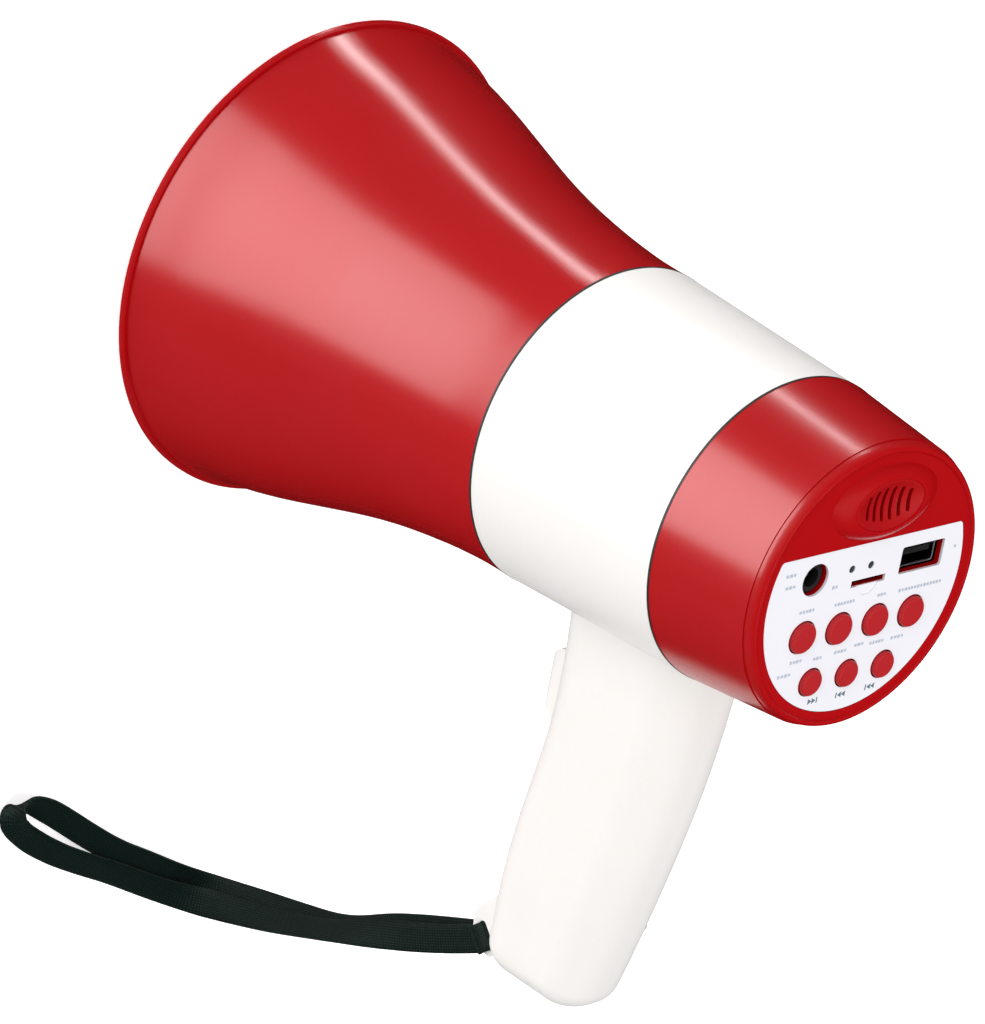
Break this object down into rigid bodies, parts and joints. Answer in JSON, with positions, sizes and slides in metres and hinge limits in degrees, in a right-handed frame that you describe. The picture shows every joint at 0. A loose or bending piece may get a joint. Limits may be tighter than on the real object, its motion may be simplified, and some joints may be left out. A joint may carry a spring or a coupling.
{
  "type": "handheld megaphone",
  "caption": "Handheld megaphone with a flared red bell, white barrel and handle, rear control panel, squeeze trigger and wrist strap.",
  "frame": {"origin": "centre of the bell mouth, in the plane of its lip, on which the megaphone stands", "axes": "+Z along the horn's axis from the mouth to the control panel, +Y down the handle, +X to the left of the person who holds it"},
  "size_m": [0.1722, 0.2956, 0.2448],
  "materials": {
    "red_shell": "polished red moulded plastic",
    "red_grille": "satin red moulded plastic",
    "red_reflector": "red moulded plastic",
    "white_shell": "satin white moulded plastic",
    "panel_sheet": "printed white sheet",
    "red_button": "satin red moulded plastic",
    "black_seal": "matt black rubber",
    "driver_casting": "cast",
    "film": "thin formed film",
    "copper_coil": "wound copper wire",
    "steel_plate": "zinc plated",
    "ferrite": "pressed ferrite",
    "screw_steel": "plated steel",
    "circuit_board": "green solder mask",
    "black_component": "moulded black plastic",
    "socket_metal": "plated sheet metal",
    "capsule_metal": "drawn can",
    "sink_metal": "extruded",
    "spacer_brass": "turned",
    "light_lens": "clear lens",
    "plunger_plastic": "moulded",
    "cell_wrap": "shrink wrapped cell",
    "tray_plastic": "moulded",
    "lead_insulation": "insulated copper lead",
    "strap_webbing": "woven webbing"
  },
  "bodies": {
    "housing": {"amplifier_board": "circuit_board", "amplifier_chip": "black_component", "amplifier_screws": "screw_steel", "barrel": "white_shell", "battery_cell": "cell_wrap", "battery_contacts": "spacer_brass", "battery_lead": "lead_insulation", "battery_tray": "tray_plastic", "bell": "red_shell", "board_screws": "screw_steel", "board_spacers": "spacer_brass", "cap_screws": "screw_steel", "capacitors": "black_component", "card_socket": "black_component", "control_board": "circuit_board", "control_panel": "panel_sheet", "diaphragm": "film", "driver_frame": "driver_casting", "driver_screws": "screw_steel", "front_gasket": "black_seal", "handle_left": "white_shell", "handle_right": "white_shell", "handle_screws": "screw_steel", "heat_sink": "sink_metal", "indicator_lights": "light_lens", "jack_pin": "socket_metal", "jack_socket": "black_component", "magnet": "ferrite", "mic_grille": "red_grille", "microphone_boot": "black_seal", "microphone_capsule": "capsule_metal", "microphone_lead": "lead_insulation", "mount_screws": "screw_steel", "rear_cap": "red_shell", "rear_gasket": "black_seal", "reflector_cup": "red_reflector", "speaker_lead": "lead_insulation", "strap_lug": "white_shell", "switch_body": "black_component", "tact_switches": "black_component", "throat_tube": "red_reflector", "top_plate": "steel_plate", "trigger_pin": "steel_plate", "trigger_spring": "steel_plate", "usb_socket": "socket_metal", "usb_tongue": "black_component", "voice_coil": "copper_coil", "wrist_strap": "strap_webbing", "yoke": "steel_plate"},
    "upper_button_1": {"upper_button_1": "red_button"},
    "upper_button_2": {"upper_button_2": "red_button"},
    "upper_button_3": {"upper_button_3": "red_button"},
    "upper_button_4": {"upper_button_4": "red_button"},
    "lower_button_1": {"lower_button_1": "red_button"},
    "lower_button_2": {"lower_button_2": "red_button"},
    "lower_button_3": {"lower_button_3": "red_button"},
    "trigger": {"trigger": "white_shell"},
    "plunger": {"switch_plunger": "plunger_plastic"}
  },
  "joints": [
    {"name": "upper_button_1_press", "type": "slide", "parent": "housing", "child": "upper_button_1", "axis": [0, 0, 1], "range_m": [-0.0008, 0], "stiffness_N_per_m": 1500, "springref_m": 0.0003},
    {"name": "upper_button_2_press", "type": "slide", "parent": "housing", "child": "upper_button_2", "axis": [0, 0, 1], "range_m": [-0.0008, 0], "stiffness_N_per_m": 1500, "springref_m": 0.0003},
    {"name": "upper_button_3_press", "type": "slide", "parent": "housing", "child": "upper_button_3", "axis": [0, 0, 1], "range_m": [-0.0008, 0], "stiffness_N_per_m": 1500, "springref_m": 0.0003},
    {"name": "upper_button_4_press", "type": "slide", "parent": "housing", "child": "upper_button_4", "axis": [0, 0, 1], "range_m": [-0.0008, 0], "stiffness_N_per_m": 1500, "springref_m": 0.0003},
    {"name": "lower_button_1_press", "type": "slide", "parent": "housing", "child": "lower_button_1", "axis": [0, 0, 1], "range_m": [-0.0008, 0], "stiffness_N_per_m": 1500, "springref_m": 0.0003},
    {"name": "lower_button_2_press", "type": "slide", "parent": "housing", "child": "lower_button_2", "axis": [0, 0, 1], "range_m": [-0.0008, 0], "stiffness_N_per_m": 1500, "springref_m": 0.0003},
    {"name": "lower_button_3_press", "type": "slide", "parent": "housing", "child": "lower_button_3", "axis": [0, 0, 1], "range_m": [-0.0008, 0], "stiffness_N_per_m": 1500, "springref_m": 0.0003},
    {"name": "trigger_squeeze", "type": "hinge", "parent": "housing", "child": "trigger", "pos_m": [0, 0.094, 0.1445], "axis": [1, 0, 0], "range_deg": [-9, 0], "stiffness_Nm_per_rad": 0.5, "springref_deg": 5.73, "deforming": ["trigger_spring"]},
    {"name": "plunger_slide", "type": "slide", "parent": "housing", "child": "plunger", "axis": [0, 0, 1], "range_m": [0, 0.0018]}
  ],
  "couplings": [
    {"joint": "plunger_slide", "follows": "trigger_squeeze", "m_per_rad": -0.01}
  ]
}
